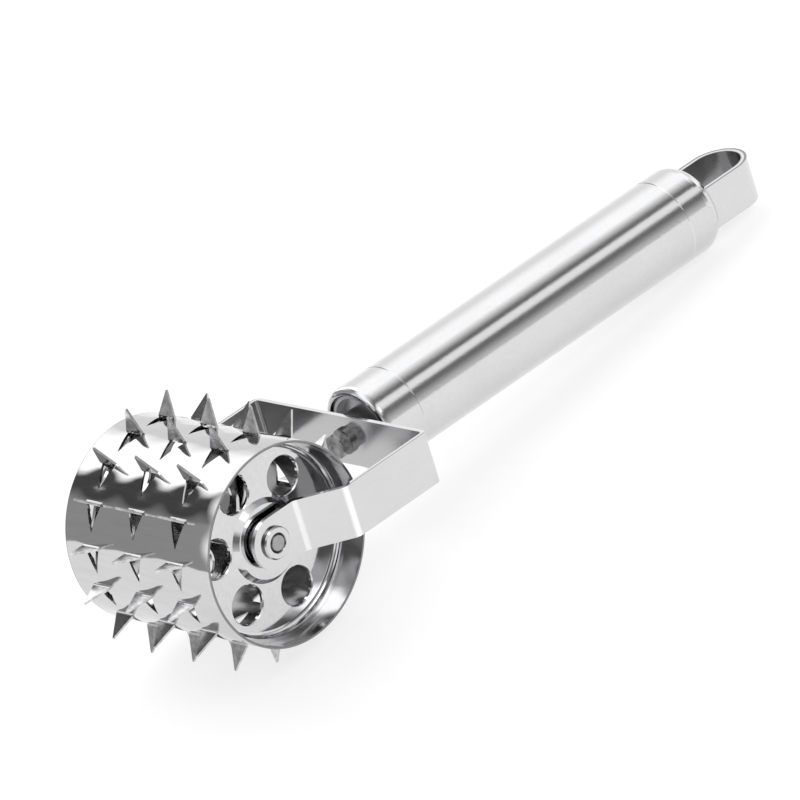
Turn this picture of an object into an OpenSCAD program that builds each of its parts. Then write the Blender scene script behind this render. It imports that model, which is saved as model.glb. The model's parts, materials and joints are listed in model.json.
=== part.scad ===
// Rolling meat tenderizer: a punched spike drum that turns on an axle in a bent strap yoke,
// with a tube handle behind it and a hanging loop at the end.
// The tool is drawn with the axle at the origin, the handle along +X and the axle along Y,
// and is then laid on the table, where it rests on its spikes and on the end of its handle.

/* [Roller drum] */
// Outside diameter of the drum
drum_d = 50; // [42:1:60]
// Length of the drum between its two rims
drum_w = 51; // [48:1:64]
// Thickness of the drum's sheet
sheet_t = 0.6; // [0.5:0.1:1]
// Rows of spikes around the drum
spike_rows = 15; // [10:1:18]
// Spikes in each row
spike_columns = 3; // [1:1:3]
// Distance between neighbouring spikes in a row
spike_pitch = 15; // [10:0.5:15]
// Shift of the rows from the middle of the drum towards the far end
spike_shift = 1.2; // [0:0.1:2]
// Height of a spike above the drum
spike_h = 6.9; // [4:0.1:8]
// Width of a spike at its fold
spike_base = 5.6; // [3:0.1:7]
// Width of the blunt end of a spike
spike_tip = 0.15; // [0.1:0.05:0.4]
// Inside radius of the fold at the foot of a spike
fold_r = 0.5; // [0.3:0.1:0.8]
// Angle from straight down to the lowest row of spikes
row_lead = 8.5; // [0:0.5:12]

/* [End caps] */
// Depth of a cap's flat below the drum's rim
cap_depth = 7.6; // [6.5:0.1:9]
// Thickness of a cap's sheet
cap_t = 1; // [0.8:0.1:1.2]
// Height of a cap's flange above its flat
cap_flange_h = 1.8; // [1.6:0.1:3]
// Inside radius of the corner between a cap's flat and its flange
cap_corner_r = 1.4; // [1:0.1:1.5]
// Diameter of the raised boss around the hub
boss_d = 18.5; // [16:0.5:19]
// Height of the boss above the flat
boss_h = 1.2; // [0.8:0.1:1.6]
// Width of the slope around the boss
boss_slope = 1.2; // [0.8:0.1:1.4]
// Holes in each cap
hole_count = 6; // [3:1:6]
// Diameter of the holes
hole_d = 9.7; // [6:0.1:10]
// Bevel around each hole
hole_bevel = 0.25; // [0.1:0.05:0.4]
// Diameter of the circle that the holes lie on
hole_circle_d = 31.8; // [31:0.1:33]
// Angle from the lowest row of spikes to the first hole
hole_lead = 2.5; // [0:0.5:30]

/* [Axle and bushes] */
// Diameter of the axle
axle_d = 6; // [5:0.1:7]
// Diameter of the axle's tenons in the yoke
tenon_d = 4.4; // [3.6:0.1:4.8]
// Bevel on the ends of the tenons
tenon_bevel = 0.3; // [0.2:0.1:0.5]
// Diameter of the collars on the tenons
collar_d = 8.2; // [7:0.1:10]
// Thickness of the collars
collar_t = 1; // [0.8:0.1:2]
// Bevel on a collar's edges
collar_bevel = 0.35; // [0.2:0.05:0.6]
// Wall of the hub bushes
bush_wall = 1.5; // [1:0.1:2]
// Length of a bush inside its cap
bush_l = 4; // [2:0.5:8]
// Diameter of a bush's flange
bush_flange_d = 10.5; // [10:0.5:13]
// Thickness of a bush's flange
bush_flange_t = 0.6; // [0.4:0.1:1]
// Diameter of the thrust washers
washer_d = 9.6; // [8:0.2:11]
// Thickness of the thrust washers
washer_t = 0.6; // [0.4:0.1:1]

/* [Yoke] */
// Width of the strap
strap_w = 13.4; // [12:0.2:16]
// Thickness of the strap
strap_t = 1.1; // [0.8:0.1:1.4]
// Width of the yoke over its arms
yoke_w = 61; // [58:0.5:76]
// Distance from the axle to the back of the plate
plate_x = 46.3; // [44:0.1:60]
// Distance from the axle to the bend beside the pad
inner_bend_x = 8.6; // [7.5:0.1:10]
// Distance from the axle to the bend beside the drum's rim
outer_bend_x = 18; // [15:0.1:21]
// Inside radius of the four bends in the arms
joggle_r = 2; // [1:0.1:2.5]
// Inside radius of the two corners beside the plate
corner_r = 0.8; // [0.5:0.1:1.5]

/* [Handle] */
// Outside diameter of the handle
grip_d = 23; // [22:0.5:28]
// Wall of the handle's tube, ferrule and cap
grip_wall = 1; // [0.8:0.1:1.4]
// Gap between the plate and the front of the handle
handle_gap = 3.5; // [2:0.1:8]
// Length of the front ferrule
ferrule_l = 11.3; // [8:0.1:16]
// Length of the tube
tube_l = 95.4; // [70:0.2:130]
// Length of the rear cap
rear_cap_l = 11.2; // [9:0.1:16]
// Radius of the ferrule's rolled rim
rim_r = 1.6; // [1.4:0.1:1.8]
// Width of the flat inside the ferrule's rolled rim
rim_flat = 0.2; // [0.1:0.1:0.8]
// Depth of the insert's face behind the rim
insert_depth = 3.2; // [2.5:0.1:5]
// Gap between the ferrule's rim and the lip around the insert's face
insert_lip_gap = 0.5; // [0.3:0.1:2]
// Width of the lip
insert_lip_w = 0.8; // [0.6:0.1:1.2]
// Depth of the lip behind the rim
insert_lip_depth = 0.8; // [0.4:0.1:1.6]
// Diameter of the insert's boss that meets the plate
insert_boss_d = 11; // [8:0.5:12]
// Length of an insert or plug inside the tube
spigot_l = 8; // [5:0.5:15]
// Radius of the rear cap's edge
edge_r = 4.5; // [2:0.1:5]
// Bevel on the edges where the handle's pieces meet
seam_bevel = 0.12; // [0.08:0.02:0.3]

/* [Handle bolt] */
// Diameter of the bolt
bolt_d = 4; // [3:0.5:5]
// Width of the bolt's head across its flats
bolt_head_w = 6; // [5.5:0.5:8]
// Height of the bolt's head
bolt_head_h = 2.8; // [2:0.1:3.5]
// Length of the bolt in the insert
bolt_grip = 16; // [8:1:17]
// Diameter of the lock washer
lock_washer_d = 6.8; // [6.4:0.2:9]
// Thickness of the lock washer
lock_washer_t = 0.9; // [0.6:0.1:1.2]

/* [Hanging loop] */
// Width of the loop over its legs
loop_w = 16; // [14:0.5:16]
// Width of the loop's strap
loop_strap_w = 11; // [8:0.2:12]
// Thickness of the loop's strap
loop_t = 1.5; // [1:0.1:2]
// Reach of the loop past the handle's end
loop_reach = 18.6; // [14:0.2:40]
// Length of the loop's legs inside the handle
leg_l = 7; // [5:0.5:8]

/* [Fits] */
// Radial clearance of the bushes on the axle
running_gap = 0.05; // [0.02:0.01:0.09]
// Clearance along the axle at each end of the roller
end_float = 0.15; // [0.1:0.05:0.4]
// Clearance of pieces that are seated in one another
seat_gap = 0.02; // [0.01:0.01:0.05]

/* [Hidden] */

// Smoothness of round pieces, and steps in a rounded corner and in a bend of the yoke
$fn = 96;
corner_steps = 6;
bend_steps = 8;
// How far a cutting shape passes what it cuts
overcut = 1;
// Signs of the end that faces the viewer and of the other end
near = -1;
far = 1;

// Roller
drum_r = drum_d / 2;
drum_bore_r = drum_r - sheet_t;
tip_r = drum_r + spike_h;
hole_drop = drum_r - sqrt(pow(drum_bore_r, 2) - pow(spike_h, 2));
row_step = 360 / spike_rows;

// Caps, by distance from the middle of the axle
flat_y = drum_w / 2 - cap_depth;
boss_y = flat_y + boss_h;
axle_r = axle_d / 2;
bush_bore_r = axle_r + running_gap;
bush_r = bush_bore_r + bush_wall;
bush_y = boss_y + bush_flange_t;
washer_y = bush_y + end_float;
pad_y = washer_y + washer_t;
collar_y = pad_y + strap_t;
tenon_y = collar_y + collar_t;

// Handle, by distance behind the axle
plate_front_x = plate_x - strap_t;
ferrule_x = plate_x + handle_gap;
insert_face_x = ferrule_x + insert_depth;
tube_x = ferrule_x + ferrule_l;
rear_cap_x = tube_x + tube_l;
grip_end_x = rear_cap_x + rear_cap_l;
loop_end_x = grip_end_x + loop_reach;
grip_r = grip_d / 2;
grip_bore_r = grip_r - grip_wall;
rim_hole_r = grip_r - rim_r - rim_flat;
spigot_r = grip_bore_r - seat_gap;
cap_edge = [grip_r - edge_r, grip_end_x - edge_r];
loop_r = (loop_w - loop_t) / 2;
loop_bend_x = loop_end_x - loop_w / 2;

// Lie on the table: the height of the axle, the tilt of the handle and the middle of the length
row_angles = [for (row = [0 : spike_rows - 1]) row_lead + row * row_step];
axle_h = tip_r * max([for (a = row_angles) cos(a)]);
tilt = asin((axle_h - edge_r) / norm(cap_edge)) - atan2(cap_edge[0], cap_edge[1]);
front_x = tip_r * min([for (a = row_angles) sin(a)]);
back_x = loop_end_x * cos(tilt) + loop_strap_w / 2 * sin(tilt);
middle_x = (front_x + back_x) / 2;

// Points on an arc about a centre, from one angle to another
function arc(centre, r, from, to, steps = corner_steps) =
    [for (i = [0 : steps]) let (a = from + (to - from) * i / steps) centre + r * [cos(a), sin(a)]];

function unit(v) = v / norm(v);
function left(d) = [-d[1], d[0]];
function turned(v, a) = [v[0] * cos(a) - v[1] * sin(a), v[0] * sin(a) + v[1] * cos(a)];
function reversed(list) = [for (i = [len(list) - 1 : -1 : 0]) list[i]];
function mirrored(path) = [for (p = path) [p[0], -p[1]]];

// One bend of the yoke's strap at corner v, of radius r on its middle line, offset to the left of that line
function bend(before, v, after, r, offset) =
    let (
        d = unit(v - before),
        e = unit(after - v),
        turn = atan2(cross(d, e), d * e),
        side = sign(turn),
        centre = v - d * r * tan(abs(turn) / 2) + left(d) * side * r
    )
    [for (i = [0 : bend_steps]) centre - (side * r - offset) * turned(left(d), turn * i / bend_steps)];

// One side of the yoke's strap along a path of corners, with the inside radius of each bend
function strap_side(path, radii, offset) =
    let (last = len(path) - 1)
    concat(
        [path[0] + left(unit(path[1] - path[0])) * offset],
        [
            for (i = [1 : last - 1])
                each bend(path[i - 1], path[i], path[i + 1], radii[i - 1] + strap_t / 2, offset)
        ],
        [path[last] + left(unit(path[last] - path[last - 1])) * offset]
    );

// The whole tool lies with its axle level, on its lowest spikes and its handle's end
module laid() {
    translate([-middle_x, 0, axle_h]) rotate([0, tilt, 0]) children();
}

// Solids turned about the handle's axis, with points given as radius and distance behind the axle
module turned_on_handle(profile) {
    rotate([0, 90, 0]) rotate_extrude() polygon(profile);
}

// Solids turned about the axle for one end, with points given as radius and distance from the middle
module turned_on_axle(profile, end) {
    mirror([0, end == near ? 1 : 0, 0]) rotate([-90, 0, 0]) rotate_extrude() polygon(profile);
}

// Places a child at the fold of every spike, with +X outwards and +Z towards its hole
module each_spike() {
    for (angle = row_angles, column = [0 : spike_columns - 1])
        translate([0, spike_shift + (column - (spike_columns - 1) / 2) * spike_pitch, 0])
            rotate([0, 90 - tilt - angle, 0])
                translate([drum_r, 0, 0]) children();
}

// The triangle of a spike in the flat sheet, from its fold towards its tip
module spike_outline(from, to) {
    polygon([[from, -spike_base / 2], [to, -spike_tip / 2], [to, spike_tip / 2], [from, spike_base / 2]]);
}

// The hole that a spike leaves, from the start of its fold to its tip, cut as deep as the wall drops there
module spike_hole() {
    translate([-hole_drop - overcut, 0, -fold_r])
        rotate([0, 90, 0])
            mirror([1, 0, 0])
                linear_extrude(hole_drop + 2 * overcut) spike_outline(0, spike_h + fold_r);
}

// The sheet's quarter bend at the foot of a spike, with a tail inside the wall
module spike_fold() {
    tail = sheet_t / 4;
    centre = [fold_r, -fold_r];
    rotate([-90, 0, 0])
        mirror([0, 1, 0])
            linear_extrude(spike_base, center = true)
                polygon(concat(
                    [[-tail, -fold_r - tail], [-tail, -fold_r]],
                    arc(centre, fold_r, 180, 90, corner_steps / 2),
                    reversed(arc(centre, fold_r + sheet_t, 180, 90, corner_steps / 2)),
                    [[tail - sheet_t, -fold_r], [tail - sheet_t, -fold_r - tail]]
                ));
}

// One spike: its fold and the upright triangle above it
module spike() {
    spike_fold();
    linear_extrude(sheet_t) spike_outline(fold_r, spike_h);
}

module drum_shell() color("gainsboro") laid() {
    difference() {
        rotate([90, 0, 0]) difference() {
            cylinder(r = drum_r, h = drum_w, center = true);
            cylinder(r = drum_bore_r, h = drum_w + 2 * overcut, center = true);
        }
        each_spike() spike_hole();
    }
    each_spike() spike();
}

// A dished end cap: hub, boss, flat, rounded corner and flange
module end_cap(end) {
    hub_r = bush_r + seat_gap;
    flange_r = drum_bore_r - seat_gap;
    corner = [flange_r - cap_t - cap_corner_r, flat_y + cap_corner_r];
    boss_r = boss_d / 2;
    hole_r = hole_d / 2;
    cap_hole = [
        [0, flat_y - cap_t - overcut], [hole_r, flat_y - cap_t - overcut], [hole_r, flat_y - hole_bevel],
        [hole_r + hole_bevel + overcut, flat_y + overcut], [0, flat_y + overcut]
    ];
    face = concat(
        [[hub_r, boss_y], [boss_r, boss_y], [boss_r + boss_slope, flat_y]],
        arc(corner, cap_corner_r, -90, 0),
        [[flange_r - cap_t, flat_y + cap_flange_h]]
    );
    back = concat(
        [[flange_r, flat_y + cap_flange_h]],
        arc(corner, cap_corner_r + cap_t, 0, -90),
        [[boss_r + boss_slope, flat_y - cap_t], [boss_r, boss_y - cap_t], [hub_r, boss_y - cap_t]]
    );
    difference() {
        turned_on_axle(concat(face, back), end);
        for (i = [0 : hole_count - 1])
            rotate([0, 90 - tilt - row_lead - hole_lead - i * 360 / hole_count, 0])
                translate([hole_circle_d / 2, 0, 0]) turned_on_axle(cap_hole, end);
    }
}

module end_cap_near() color("lightgray") laid() end_cap(near);

module end_cap_far() color("lightgray") laid() end_cap(far);

// A bush in a cap's hub, with its flange on the boss
module hub_bush(end) {
    inner_y = boss_y - bush_l;
    flange_r = bush_flange_d / 2;
    turned_on_axle([
        [bush_bore_r, inner_y], [bush_r, inner_y], [bush_r, boss_y],
        [flange_r, boss_y], [flange_r, bush_y], [bush_bore_r, bush_y]
    ], end);
}

module hub_bush_near() color("dimgray") laid() hub_bush(near);

module hub_bush_far() color("dimgray") laid() hub_bush(far);

module yoke_strap() color("silver") laid() {
    pad_r = strap_w / 2;
    arm_y = (yoke_w - strap_t) / 2;
    pad_mid_y = pad_y + strap_t / 2;
    plate_mid_x = plate_x - strap_t / 2;
    arm = [[-pad_r, pad_mid_y], [inner_bend_x, pad_mid_y], [outer_bend_x, arm_y], [plate_mid_x, arm_y]];
    path = concat(arm, reversed(mirrored(arm)));
    radii = [joggle_r, joggle_r, corner_r, corner_r, joggle_r, joggle_r];
    outside = strap_side(path, radii, strap_t / 2);
    inside = strap_side(path, radii, -strap_t / 2);
    difference() {
        intersection() {
            linear_extrude(strap_w, center = true) polygon(concat(outside, reversed(inside)));
            union() {
                rotate([90, 0, 0]) cylinder(r = pad_r, h = yoke_w, center = true);
                translate([0, -yoke_w / 2 - overcut, -pad_r])
                    cube([plate_x + overcut, yoke_w + 2 * overcut, strap_w]);
            }
        }
        rotate([90, 0, 0]) cylinder(d = tenon_d + 2 * seat_gap, h = yoke_w, center = true);
        translate([plate_front_x - overcut, 0, 0])
            rotate([0, 90, 0]) cylinder(d = bolt_d + 2 * seat_gap, h = strap_t + 2 * overcut);
    }
}

module axle() color("silver") laid() {
    tenon_r = tenon_d / 2;
    half = [
        [axle_r, pad_y], [tenon_r, pad_y], [tenon_r, tenon_y - tenon_bevel], [tenon_r - tenon_bevel, tenon_y]
    ];
    rotate([-90, 0, 0]) rotate_extrude() polygon(concat(
        [[0, -tenon_y]], reversed([for (p = half) [p[0], -p[1]]]), half, [[0, tenon_y]]
    ));
}

// A collar on a tenon, bevelled inside and out
module axle_collar(end) {
    collar_r = collar_d / 2;
    bore_r = tenon_d / 2 + seat_gap;
    turned_on_axle([
        [bore_r, collar_y], [collar_r, collar_y], [collar_r, tenon_y - collar_bevel],
        [collar_r - collar_bevel, tenon_y], [bore_r + collar_bevel, tenon_y], [bore_r, tenon_y - collar_bevel]
    ], end);
}

module axle_collar_near() color("silver") laid() axle_collar(near);

module axle_collar_far() color("silver") laid() axle_collar(far);

// A washer between a bush's flange and the yoke's pad
module thrust_washer(end) {
    outer_r = washer_d / 2;
    bore_r = axle_r + seat_gap;
    turned_on_axle([[bore_r, washer_y], [outer_r, washer_y], [outer_r, pad_y], [bore_r, pad_y]], end);
}

module thrust_washer_near() color("gray") laid() thrust_washer(near);

module thrust_washer_far() color("gray") laid() thrust_washer(far);

module handle_bolt() color("dimgray") laid() {
    head_x = plate_front_x - lock_washer_t;
    face_x = head_x - bolt_head_h;
    head_r = bolt_head_w / 2 / cos(30);
    bevel = head_r - bolt_head_w / 2;
    intersection() {
        translate([face_x, 0, 0]) rotate([0, 90, 0]) cylinder(r = head_r, h = bolt_head_h, $fn = 6);
        turned_on_handle([
            [0, face_x], [head_r - bevel, face_x],
            [head_r, face_x + bevel], [head_r, head_x], [0, head_x]
        ]);
    }
    translate([head_x - overcut, 0, 0]) rotate([0, 90, 0])
        cylinder(d = bolt_d, h = overcut + lock_washer_t + strap_t + bolt_grip);
}

module lock_washer() color("gray") laid() {
    outer_r = lock_washer_d / 2;
    bore_r = bolt_d / 2 + seat_gap;
    head_x = plate_front_x - lock_washer_t;
    turned_on_handle([
        [bore_r, head_x], [outer_r, head_x], [outer_r, plate_front_x], [bore_r, plate_front_x]
    ]);
}

module handle_insert() color("dimgray") laid() {
    bore_r = bolt_d / 2 + seat_gap;
    boss_r = insert_boss_d / 2;
    lip_r = rim_hole_r - insert_lip_gap;
    lip_x = ferrule_x + insert_lip_depth;
    end_x = tube_x + spigot_l;
    turned_on_handle([
        [bore_r, plate_x], [boss_r, plate_x], [boss_r, insert_face_x],
        [lip_r - insert_lip_w, insert_face_x], [lip_r - insert_lip_w, lip_x],
        [lip_r, lip_x], [lip_r, insert_face_x],
        [spigot_r, insert_face_x], [spigot_r, end_x], [bore_r, end_x]
    ]);
}

module front_ferrule() color("lightgray") laid() {
    rim = [grip_r - rim_r, ferrule_x + rim_r];
    turned_on_handle(concat(
        [[rim_hole_r, ferrule_x + grip_wall], [rim_hole_r, ferrule_x]],
        arc(rim, rim_r, -90, 0),
        [[grip_r, tube_x - seam_bevel], [grip_r - seam_bevel, tube_x], [grip_bore_r, tube_x]],
        arc(rim, rim_r - grip_wall, 0, -90)
    ));
}

module handle_tube() color("lightgray") laid() turned_on_handle([
    [grip_bore_r, tube_x], [grip_r - seam_bevel, tube_x], [grip_r, tube_x + seam_bevel],
    [grip_r, rear_cap_x - seam_bevel], [grip_r - seam_bevel, rear_cap_x], [grip_bore_r, rear_cap_x]
]);

// Room for the loop's two legs in the rear cap's end and in the plug
module leg_slots() {
    slot_l = leg_l + seat_gap + overcut;
    for (side = [near, far])
        translate([grip_end_x + overcut - slot_l / 2, side * loop_r, 0])
            cube([slot_l, loop_t + 2 * seat_gap, loop_strap_w + 2 * seat_gap], center = true);
}

module rear_plug() color("dimgray") laid() {
    from_x = rear_cap_x - spigot_l;
    difference() {
        turned_on_handle(concat(
            [[0, from_x], [spigot_r, from_x]],
            arc(cap_edge, edge_r - grip_wall - seat_gap, 0, 90),
            [[0, grip_end_x - grip_wall - seat_gap]]
        ));
        leg_slots();
    }
}

module rear_cap() color("lightgray") laid() {
    difference() {
        turned_on_handle(concat(
            [[grip_bore_r, rear_cap_x], [grip_r - seam_bevel, rear_cap_x], [grip_r, rear_cap_x + seam_bevel]],
            arc(cap_edge, edge_r, 0, 90),
            [[0, grip_end_x], [0, grip_end_x - grip_wall]],
            arc(cap_edge, edge_r - grip_wall, 90, 0)
        ));
        leg_slots();
    }
}

// A block with one round end, as the loop's outside and inside
module loop_block(r, from_x, width) {
    translate([from_x, -r, -width / 2]) cube([loop_bend_x - from_x, 2 * r, width]);
    translate([loop_bend_x, 0, 0]) cylinder(r = r, h = width, center = true);
}

module hanging_loop() color("lightgray") laid() {
    foot_x = grip_end_x - leg_l;
    difference() {
        loop_block(loop_w / 2, foot_x, loop_strap_w);
        loop_block(loop_w / 2 - loop_t, foot_x - overcut, loop_strap_w + 2 * overcut);
    }
}

drum_shell();
end_cap_near();
end_cap_far();
hub_bush_near();
hub_bush_far();
yoke_strap();
axle();
axle_collar_near();
axle_collar_far();
thrust_washer_near();
thrust_washer_far();
handle_bolt();
lock_washer();
handle_insert();
front_ferrule();
handle_tube();
rear_plug();
rear_cap();
hanging_loop();
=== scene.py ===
"""Rolling meat tenderizer in polished and satin steel, lying on a pale studio floor."""

import json
import math
from typing import Any, NamedTuple

import bpy
from mathutils import Euler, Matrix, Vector

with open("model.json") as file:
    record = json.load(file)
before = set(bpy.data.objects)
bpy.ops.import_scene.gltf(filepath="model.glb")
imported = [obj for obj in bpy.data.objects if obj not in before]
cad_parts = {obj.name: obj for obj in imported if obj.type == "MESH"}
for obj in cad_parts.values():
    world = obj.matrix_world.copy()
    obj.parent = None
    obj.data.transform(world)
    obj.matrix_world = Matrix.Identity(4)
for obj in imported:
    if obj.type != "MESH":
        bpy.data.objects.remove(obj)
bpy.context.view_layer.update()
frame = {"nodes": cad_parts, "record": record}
nodes = frame["nodes"]
record = frame["record"]

# Where the axle and the handle lie in the part's frame
AXLE = Vector(record["behaviour"]["joints"][0]["pos_m"])
HANDLE_AXIS = Vector(record["mounts"][0]["axis"])
HANDLE_TILT = math.asin(-HANDLE_AXIS.z)

# Places below are in metres, from the axle or along the handle. A gain multiplies the tone of the steel.

# The spikes on the drum: rows around it, their first angle from straight down, and columns along it
SPIKE_ROWS = 15
SPIKE_LEAD = math.radians(8.5)
SPIKE_PITCH = 0.015
SPIKE_SHIFT = 0.0012

# The radii between which the spikes begin, the slope of their backs, which thin towards the points, how much
# rougher they are than the drum, and the scale and strength of the marks on them
SPIKE_FOOT = (0.0254, 0.0259)
SPIKE_SLOPE = 0.14
SPIKE_BURR = 0.1
MARK_SCALE = 600.0
MARK_GAIN = 0.3

# The height of the waves in the drum's sheet, and how its outside rounds off at the near rim: where that
# begins from the middle, and its curvature
SHEET_WAVE = 0.0001
RIM_START = 0.0183
RIM_CURVE = 13.5

# The drum's inside: its radius, half its length between the end caps, half its length up to the cut edges,
# and the gains of the painted shade on its inside between the caps and outside them
DRUM_RADIUS = 0.0247
DRUM_HALF = 0.018
DRUM_EDGE = 0.0254
DRUM_INSIDE_SHADE = 0.5
DRUM_RIM_SHADE = 0.75

# The yoke: each bend in its arms with half the width and the gain of the painted highlight along it, and
# where its pads end
ARM_BEND_HIGHLIGHTS = ((0.0086, 0.00055, 1.28), (0.018, 0.0007, 1.42))
PADS_END = (0.01, 0.012)

# The faces inside the yoke's arms and plate: their offset times the way they face, and the gains of the
# painted shade on them
INSIDE_ARMS = (-0.02, -0.005)
INSIDE_ARMS_SHADE = 0.45
INSIDE_PLATE = (-0.044, -0.036)
INSIDE_PLATE_SHADE = 0.74

# The painted highlights along the handle's seams, given as for the bends above, and how much of its half
# width a painted highlight line fades over
SEAM_HIGHLIGHTS = ((0.0611, 0.0003, 1.03), (0.1565, 0.0003, 1.08))
LINE_FADE = 0.4

# The loop: where its round end begins, and the radii and the gain that darkens its inner face
LOOP_BEND = 0.1783
LOOP_INNER = (0.0065, 0.0069)
LOOP_INNER_GAIN = 0.45

# Cut edges of the yoke and the loop: how far up or down they face, where their outer corners begin, and the
# gains of the painted highlights on those edges and of the painted dark lines along those corners
EDGE_FACING = (0.6, 0.9)
ARM_CORNER = 0.0302
LOOP_CORNER = 0.0074
EDGE_HIGHLIGHT_GAIN = 1.18
PAINTED_DARK_LINE_GAIN = 0.45

# The width over which one tone gives way to the next at a sharp corner
BLEND = 0.0001

# The axle's riveted ends: their radius, and the half width and gain of the dark line around them. The
# collars: how far along the axle they face, from side to end, and the gain of the painted shade on the side.
TENON_RADIUS = 0.0022
JOINT_LINE = (0.0002, 0.0004)
JOINT_GAIN = 0.25
COLLAR_FACING = (0.3, 0.8)
COLLAR_SIDE_SHADE = 0.25

# All noise: the middle of its range, which the tones are spread over, its detail and its roughness
NOISE_MIDDLE = (0.3, 0.7)
NOISE_DETAIL = 4.0
NOISE_ROUGHNESS = 0.6

# All steel: the scale of its faint clouds and how much they change tone and roughness, the height of its
# grain, its share of blue, and the gains over which it gets rougher where it is dull, and by how much
CLOUD_SCALE = 60.0
CLOUD_TONE = 0.015
CLOUD_ROUGHNESS = 0.02
GRAIN_HEIGHT = 0.0002
BLUE = 1.012
DULL_GAINS = (0.3, 1.0)
DULL_ROUGHNESS = 0.12

# The floor: its size, the scale of its clouds, its tone from low to high, its roughness and its glow
FLOOR_SIZE = 8
FLOOR_SCALE = 30.0
FLOOR_TONE = (0.39, 0.41)
FLOOR_ROUGHNESS = 0.7
FLOOR_GLOW = 0.66

# The camera that fits the photograph: a long lens from the front left, rolled with the tool
CAMERA_AT = (-1.797524, -2.594896, 1.711535)
CAMERA_TURN = (59.699, 20.61821, -46.14651)
CAMERA_LENS = 669.188
CAMERA_SENSOR = 36
CAMERA_REACH = 100

# Lights and flags around the set: the angles in degrees that each one spans, and its brightness. Those at
# the back run from right to left over the top, those at the front from the back over the top to the front.
BACK_WALL = (0, 33, 1.0)
BACK_BOX = (55, 99, 1.7)
BACK_FLAG = (107, 119, 0.08)
BACK_SCREEN = (135, 175, 0.38)
FRONT_WALL = (0, 25, 0.95)
FRONT_BOX = (50, 84, 1.4)
FRONT_FLAG = (112, 120, 0.2)
FRONT_STRIP = (125, 139, 1.08)
FRONT_SHADE = (147, 156, 0.2)
FRONT_SCREEN = (176, 180, 0.68)
BRIGHTEST = 1.7

# How far back a direction points where the lights at the front give way to those at the back
BACK_EDGE = (0.35, 0.55)

# A round soft lamp high at the front: the way to it, the cosines of its soft edge, and its brightness
LAMP_WAY = Vector((0.1, -0.73, 0.67)).normalized()
LAMP_EDGE = (0.97, 0.99)
LAMP = 2.4

# The grey of the backdrop past the floor's end, as the camera sees it
BACKDROP = 0.97

# Where a mix node for colours has its two inputs and its result
MIX_A, MIX_B, MIX_RESULT = 6, 7, 2


class Finish(NamedTuple):
    """A steel's tone and roughness, each from low to high, and the stretch, scale and bump of its grain."""

    tone: tuple
    rough: tuple
    stretch: tuple
    scale: float
    bump: float


POLISHED = Finish(tone=(0.63, 0.68), rough=(0.05, 0.09), stretch=(1, 0.1, 1), scale=900.0, bump=0.02)
DRUM = POLISHED._replace(tone=(0.58, 0.62))
BRUSHED = Finish(tone=(0.655, 0.695), rough=(0.09, 0.12), stretch=(0.3, 1, 1), scale=3000.0, bump=0.05)
STRIP = Finish(tone=(0.655, 0.675), rough=(0.07, 0.11), stretch=(0.06, 1, 1), scale=1500.0, bump=0.01)
DARK = Finish(tone=(0.1, 0.46), rough=(0.22, 0.38), stretch=(1, 1, 1), scale=480.0, bump=0.06)
INNER = Finish(tone=(0.42, 0.52), rough=(0.25, 0.36), stretch=(1, 1, 1), scale=1500.0, bump=0.1)
TURNED = Finish(tone=(0.32, 0.4), rough=(0.12, 0.2), stretch=(1, 1, 1), scale=1500.0, bump=0.1)


class Point(NamedTuple):
    """Where a point lies from the axle and along the handle, and the way its surface faces."""

    on_axle: Any
    along_handle: Any
    facing: Any


class Nodes:
    """A node tree with short calls for adding and linking its nodes."""

    def __init__(self, tree):
        self.tree = tree
        tree.nodes.clear()

    def add(self, kind, **inputs):
        node = self.tree.nodes.new(kind)
        for name, value in inputs.items():
            self.put(node, name, value)
        return node

    def put(self, node, name, value):
        socket = node.inputs[name if isinstance(name, int) else name.replace("_", " ")]
        if isinstance(value, bpy.types.NodeSocket):
            self.tree.links.new(value, socket)
        else:
            socket.default_value = value

    def math(self, operation, a, b=0.0):
        node = self.tree.nodes.new("ShaderNodeMath")
        node.operation = operation
        self.put(node, 0, a)
        self.put(node, 1, b)
        return node.outputs[0]

    def ramp(self, value, stops):
        node = self.tree.nodes.new("ShaderNodeValToRGB")
        node.color_ramp.interpolation = "LINEAR"
        elements = node.color_ramp.elements
        while len(elements) < len(stops):
            elements.new(0.5)
        for element, (at, grey) in zip(elements, stops):
            element.position = at
            element.color = (grey, grey, grey, 1)
        self.put(node, 0, value)
        return node.outputs["Color"]

    def fit(self, value, start, end, low, high):
        """Maps a value from one range to another and holds it at the ends."""
        node = self.add("ShaderNodeMapRange", Value=value)
        node.inputs["From Min"].default_value = start
        node.inputs["From Max"].default_value = end
        node.inputs["To Min"].default_value = low
        node.inputs["To Max"].default_value = high
        return node.outputs[0]

    def spread(self, noise, low, high):
        """Maps the middle of a noise's range to a narrow range."""
        return self.fit(noise, *NOISE_MIDDLE, low, high)

    def grain(self, place, scale):
        noise = self.add(
            "ShaderNodeTexNoise", Vector=place, Scale=scale, Detail=NOISE_DETAIL, Roughness=NOISE_ROUGHNESS
        )
        return noise.outputs["Fac"]

    def split(self, vector):
        return self.add("ShaderNodeSeparateXYZ", Vector=vector).outputs

    def reach(self, a, b):
        """The distance of a point from an axis, from its two offsets."""
        return self.math("SQRT", self.math("ADD", self.math("POWER", a, 2.0), self.math("POWER", b, 2.0)))

    def relief(self, height, distance, strength, **normal):
        bump = self.add("ShaderNodeBump", Strength=strength, Distance=distance, Height=height, **normal)
        return bump.outputs[0]


def drawn_sheet(tree, point):
    """The waves that punching leaves in the drum's sheet, one for each spike."""
    x, y, z = tree.split(point.on_axle)
    angle = tree.math("ARCTAN2", x, tree.math("MULTIPLY", z, -1.0))
    around = tree.math("MULTIPLY", tree.math("SUBTRACT", angle, SPIKE_LEAD), SPIKE_ROWS)
    along = tree.math("MULTIPLY", tree.math("SUBTRACT", y, SPIKE_SHIFT), math.tau / SPIKE_PITCH)
    waves = tree.math("ADD", tree.math("COSINE", along), 1.0)
    return tree.math("MULTIPLY", tree.math("COSINE", around), waves)


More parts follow.
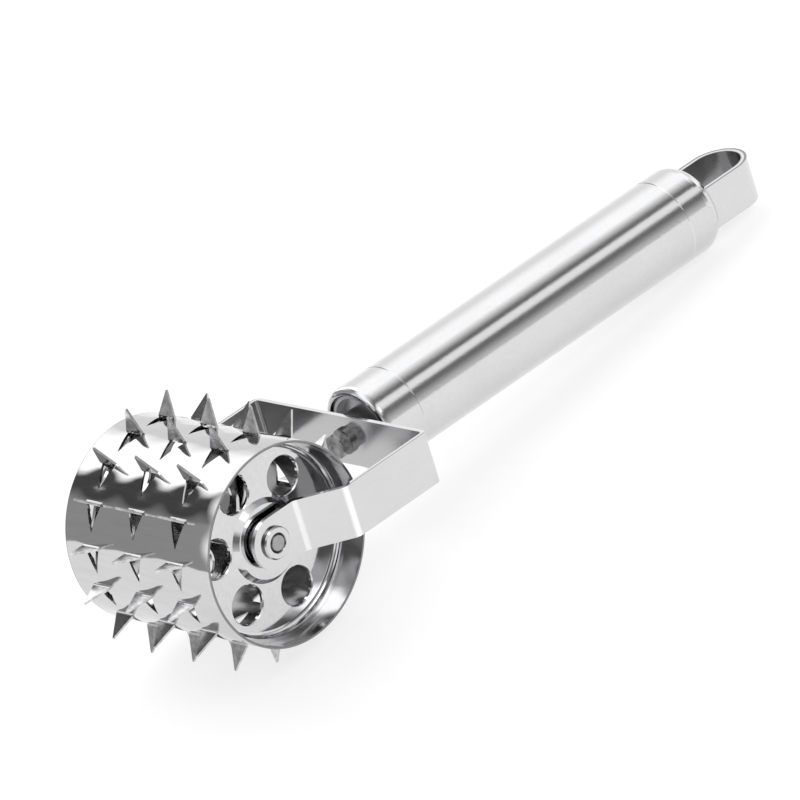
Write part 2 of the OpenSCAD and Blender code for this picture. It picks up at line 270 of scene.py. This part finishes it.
def sharpened(tree, point):
    """The thinning of each spike's back, from its foot to its point."""
    x, _, z = tree.split(point.on_axle)
    face_x, _, face_z = tree.split(point.facing)
    radius = tree.reach(x, z)
    turned = tree.math("SUBTRACT", tree.math("MULTIPLY", z, face_x), tree.math("MULTIPLY", x, face_z))
    back = tree.math("MAXIMUM", tree.math("DIVIDE", turned, radius), 0.0)
    above = tree.math("MAXIMUM", tree.math("SUBTRACT", radius, SPIKE_FOOT[0]), 0.0)
    return tree.math("MULTIPLY", tree.math("MULTIPLY", above, back), -SPIKE_SLOPE)


def rounded_rim(tree, point):
    """The drum's outside falling away towards its near rim."""
    x, y, z = tree.split(point.on_axle)
    face_x, _, face_z = tree.split(point.facing)
    turned = tree.math("ADD", tree.math("MULTIPLY", x, face_x), tree.math("MULTIPLY", z, face_z))
    outside = tree.math("MAXIMUM", tree.math("DIVIDE", turned, tree.reach(x, z)), 0.0)
    past = tree.math("MAXIMUM", tree.math("SUBTRACT", -RIM_START, y), 0.0)
    fall = tree.math("MULTIPLY", tree.math("POWER", past, 2.0), -RIM_CURVE)
    return tree.math("MULTIPLY", fall, outside)


def painted_highlight_line(tree, x, at, half_width, gain):
    """A painted highlight line across the handle's axis."""
    away = tree.math("ABSOLUTE", tree.math("SUBTRACT", x, at))
    return tree.fit(away, half_width * (1 - LINE_FADE), half_width * (1 + LINE_FADE), gain, 1.0)


def painted_edge_lines(tree, face_z, outwards, corner):
    """Painted highlights on a strap's cut edges where they face up or down, each with a painted dark line
    along its outer corner.
    """
    edge = tree.fit(tree.math("ABSOLUTE", face_z), *EDGE_FACING, 0.0, 1.0)
    across = tree.fit(outwards, corner - BLEND, corner, EDGE_HIGHLIGHT_GAIN - 1, PAINTED_DARK_LINE_GAIN - 1)
    return tree.math("ADD", tree.math("MULTIPLY", edge, across), 1.0)


def strap_painted_light(tree, point):
    """Painted highlights along the strap's bends, painted shade on its inner faces, which are also rougher,
    and painted light on its cut edges.
    """
    x, y, _ = tree.split(point.along_handle)
    face_x, face_y, face_z = tree.split(point.facing)
    in_pads = tree.fit(x, *PADS_END, 1.0, 0.0)
    # Painted shade on the inner faces of the arms and the plate, where they face the drum
    in_arms = tree.fit(tree.math("MULTIPLY", y, face_y), *INSIDE_ARMS, INSIDE_ARMS_SHADE, 1.0)
    in_plate = tree.fit(tree.math("MULTIPLY", x, face_x), *INSIDE_PLATE, INSIDE_PLATE_SHADE, 1.0)
    # Painted highlights along the bends of the arms
    lines = [painted_highlight_line(tree, x, *bend) for bend in ARM_BEND_HIGHLIGHTS]
    dull = tree.math("MULTIPLY", tree.math("MAXIMUM", in_arms, in_pads), in_plate)
    # Painted highlights on the cut edges and painted dark lines along their corners
    edges = painted_edge_lines(tree, face_z, tree.math("ABSOLUTE", y), ARM_CORNER)
    return tree.math("MULTIPLY", tree.math("MAXIMUM", *lines), tree.math("MULTIPLY", dull, edges))


def painted_seam_highlights(tree, point):
    """Painted highlight lines along the edges of the handle's seams, where their bevels catch the light."""
    x = tree.split(point.along_handle)[0]
    return tree.math("MAXIMUM", *[painted_highlight_line(tree, x, *seam) for seam in SEAM_HIGHLIGHTS])


def drum_shade_and_marks(tree, point):
    """Painted shade on the drum's inside, which is also rougher, and on its inner rims, a painted dark line
    on its cut edges, and the marks on its spikes.
    """
    x, y, z = tree.split(point.on_axle)
    radius = tree.reach(x, z)
    along = tree.math("ABSOLUTE", y)
    # Painted shade inside the drum and on its inner rims, and a painted dark line on its cut edges
    outer = tree.fit(radius, DRUM_RADIUS - BLEND, DRUM_RADIUS, DRUM_INSIDE_SHADE, 1.0)
    ends = tree.fit(along, DRUM_HALF, DRUM_HALF + BLEND, DRUM_INSIDE_SHADE, DRUM_RIM_SHADE)
    edges = tree.fit(along, DRUM_EDGE - BLEND, DRUM_EDGE, 1.0, PAINTED_DARK_LINE_GAIN)
    on_spikes = tree.fit(radius, *SPIKE_FOOT, 0.0, 1.0)
    marks = tree.spread(tree.grain(point.on_axle, MARK_SCALE), -MARK_GAIN, MARK_GAIN)
    marked = tree.math("ADD", tree.math("MULTIPLY", marks, on_spikes), 1.0)
    sheet = tree.math("MULTIPLY", tree.math("MAXIMUM", outer, ends), edges)
    return tree.math("MULTIPLY", sheet, marked)


def loop_inside_and_edge_light(tree, point):
    """The hanging loop's inner face made darker and rougher, and painted light on its cut edges."""
    x, y, _ = tree.split(point.along_handle)
    past = tree.math("MAXIMUM", tree.math("SUBTRACT", x, LOOP_BEND), 0.0)
    outwards = tree.reach(past, y)
    inner = tree.fit(outwards, *LOOP_INNER, LOOP_INNER_GAIN, 1.0)
    # Painted highlights and dark lines on the loop's cut edges
    edges = painted_edge_lines(tree, tree.split(point.facing)[2], outwards, LOOP_CORNER)
    return tree.math("MULTIPLY", inner, edges)


def dark_joint(tree, point):
    """The dark line where the axle's riveted end fills its collar."""
    x, _, z = tree.split(point.on_axle)
    away = tree.math("ABSOLUTE", tree.math("SUBTRACT", tree.reach(x, z), TENON_RADIUS))
    return tree.fit(away, *JOINT_LINE, JOINT_GAIN, 1.0)


def collar_shade_and_joint(tree, point):
    """Painted shade on a collar's turned side, which is also rougher, and the dark line inside it."""
    along = tree.math("ABSOLUTE", tree.split(point.facing)[1])
    # Painted shade on the collar's side
    side = tree.fit(along, *COLLAR_FACING, COLLAR_SIDE_SHADE, 1.0)
    return tree.math("MINIMUM", side, dark_joint(tree, point))


def steel(name, finish, painted_light_and_wear=None, punched=False):
    """Steel whose tone, roughness and surface vary along its grain, with painted highlights, painted shade
    and wear, and punched where asked.
    """
    material = bpy.data.materials.new(name)
    material.use_nodes = True
    tree = Nodes(material.node_tree)
    coords = tree.add("ShaderNodeTexCoord").outputs
    on_axle = tree.add("ShaderNodeMapping", Vector=coords["Object"], Location=-AXLE).outputs[0]
    along_handle = tree.add("ShaderNodeMapping", Vector=on_axle, Rotation=(0, -HANDLE_TILT, 0)).outputs[0]
    point = Point(on_axle, along_handle, coords["Normal"])
    stretched = tree.add("ShaderNodeMapping", Vector=along_handle, Scale=finish.stretch).outputs[0]
    lines = tree.grain(stretched, finish.scale)
    clouds = tree.grain(along_handle, CLOUD_SCALE)
    tone = tree.math("ADD", tree.spread(lines, *finish.tone), tree.spread(clouds, -CLOUD_TONE, CLOUD_TONE))
    rough = tree.math("ADD", tree.spread(lines, *finish.rough), tree.spread(clouds, 0.0, CLOUD_ROUGHNESS))
    normal = tree.relief(lines, GRAIN_HEIGHT, finish.bump)
    if painted_light_and_wear:
        # The gain paints highlights and shade into the tone, and marks and dark joints where there are any
        gain = painted_light_and_wear(tree, point)
        tone = tree.math("MULTIPLY", tone, gain)
        rough = tree.math("ADD", rough, tree.fit(gain, *DULL_GAINS, DULL_ROUGHNESS, 0.0))
    if punched:
        x, _, z = tree.split(on_axle)
        rough = tree.math("ADD", rough, tree.fit(tree.reach(x, z), *SPIKE_FOOT, 0.0, SPIKE_BURR))
        for form, height in ((drawn_sheet, SHEET_WAVE), (sharpened, 1.0), (rounded_rim, 1.0)):
            normal = tree.relief(form(tree, point), height, 1.0, Normal=normal)
    colour = tree.add("ShaderNodeCombineColor", Red=tone, Green=tone, Blue=tree.math("MULTIPLY", tone, BLUE))
    shader = tree.add(
        "ShaderNodeBsdfPrincipled",
        Base_Color=colour.outputs[0], Metallic=1.0, Roughness=rough, Normal=normal,
    )
    tree.add("ShaderNodeOutputMaterial", Surface=shader.outputs[0])
    return material


def dress():
    """Gives every node the finish of its material slot, or one of its own."""
    by_slot = {
        "polished_steel": steel("polished_steel", POLISHED),
        "bright_strap": steel("bright_strap", STRIP, painted_light_and_wear=strap_painted_light),
        "brushed_handle": steel("brushed_handle", BRUSHED, painted_light_and_wear=painted_seam_highlights),
        "dark_bolt": steel("dark_bolt", DARK),
        "inner_steel": steel("inner_steel", INNER),
    }
    collar = steel("collar_steel", POLISHED, painted_light_and_wear=collar_shade_and_joint)
    by_node = {
        "drum_shell": steel("drum_steel", DRUM, painted_light_and_wear=drum_shade_and_marks, punched=True),
        "hanging_loop": steel("loop_steel", BRUSHED, painted_light_and_wear=loop_inside_and_edge_light),
        "axle": steel("axle_steel", TURNED, painted_light_and_wear=dark_joint),
        "axle_collar_near": collar,
        "axle_collar_far": collar,
    }
    for part in record["subparts"]:
        mesh = nodes[part["node"]].data
        mesh.materials.clear()
        mesh.materials.append(by_node.get(part["node"], by_slot[part["material_slot"]]))


def make_floor():
    """A white matt shooting table, lit a little from below, that runs out of sight."""
    bpy.ops.mesh.primitive_plane_add(size=FLOOR_SIZE)
    floor = bpy.context.object
    floor.name = "floor"
    material = bpy.data.materials.new("floor")
    material.use_nodes = True
    tree = Nodes(material.node_tree)
    coords = tree.add("ShaderNodeTexCoord").outputs["Object"]
    tone = tree.spread(tree.grain(coords, FLOOR_SCALE), *FLOOR_TONE)
    colour = tree.add("ShaderNodeCombineColor", Red=tone, Green=tone, Blue=tone)
    shader = tree.add(
        "ShaderNodeBsdfPrincipled",
        Base_Color=colour.outputs[0], Roughness=FLOOR_ROUGHNESS,
        Emission_Color=(1, 1, 1, 1), Emission_Strength=FLOOR_GLOW,
    )
    tree.add("ShaderNodeOutputMaterial", Surface=shader.outputs[0])
    floor.data.materials.append(material)


def make_studio():
    """Soft boxes and dark flags around the set, painted on the world."""
    world = bpy.data.worlds.new("studio")
    bpy.context.scene.world = world
    world.use_nodes = True
    tree = Nodes(world.node_tree)
    way = tree.add("ShaderNodeTexCoord").outputs["Generated"]
    x, y, z = tree.split(way)

    def sweep(across, *lights):
        """Brightness by the angle from a level direction up over the top."""
        turn = tree.math("DIVIDE", tree.math("ARCTAN2", z, across), math.pi)
        stops = []
        for start, end, grey in lights:
            stops += [(start / 180, grey / BRIGHTEST), (end / 180, grey / BRIGHTEST)]
        return tree.ramp(turn, stops)

    light = tree.add("ShaderNodeMix")
    light.data_type = "RGBA"
    tree.put(light, "Factor", tree.fit(y, *BACK_EDGE, 0.0, 1.0))
    front = (FRONT_WALL, FRONT_BOX, FRONT_FLAG, FRONT_STRIP, FRONT_SHADE, FRONT_SCREEN)
    tree.put(light, MIX_A, sweep(y, *front))
    tree.put(light, MIX_B, sweep(x, BACK_WALL, BACK_BOX, BACK_FLAG, BACK_SCREEN))
    towards = tree.add("ShaderNodeVectorMath")
    towards.operation = "DOT_PRODUCT"
    tree.put(towards, 0, way)
    tree.put(towards, 1, LAMP_WAY)
    lamp = tree.fit(towards.outputs["Value"], *LAMP_EDGE, 0.0, LAMP)
    boxes = tree.add("ShaderNodeBackground", Color=light.outputs[MIX_RESULT], Strength=BRIGHTEST)
    bulb = tree.add("ShaderNodeBackground", Color=(1, 1, 1, 1), Strength=lamp)
    lit = tree.add("ShaderNodeAddShader")
    tree.put(lit, 0, boxes.outputs[0])
    tree.put(lit, 1, bulb.outputs[0])
    seen = tree.add("ShaderNodeBackground", Color=(BACKDROP, BACKDROP, BACKDROP, 1), Strength=1.0)
    path = tree.add("ShaderNodeLightPath")
    mix = tree.add("ShaderNodeMixShader")
    tree.put(mix, 0, path.outputs["Is Camera Ray"])
    tree.put(mix, 1, lit.outputs[0])
    tree.put(mix, 2, seen.outputs[0])
    tree.add("ShaderNodeOutputWorld", Surface=mix.outputs[0])


def place_camera():
    """The camera at the photograph's angle."""
    scene = bpy.context.scene
    scene.view_settings.view_transform = "Standard"
    camera = bpy.data.objects.new("camera", bpy.data.cameras.new("camera"))
    scene.collection.objects.link(camera)
    camera.location = CAMERA_AT
    camera.rotation_euler = Euler([math.radians(a) for a in CAMERA_TURN])
    camera.data.lens = CAMERA_LENS
    camera.data.sensor_width = CAMERA_SENSOR
    camera.data.clip_end = CAMERA_REACH
    scene.camera = camera


dress()
make_floor()
make_studio()
place_camera()
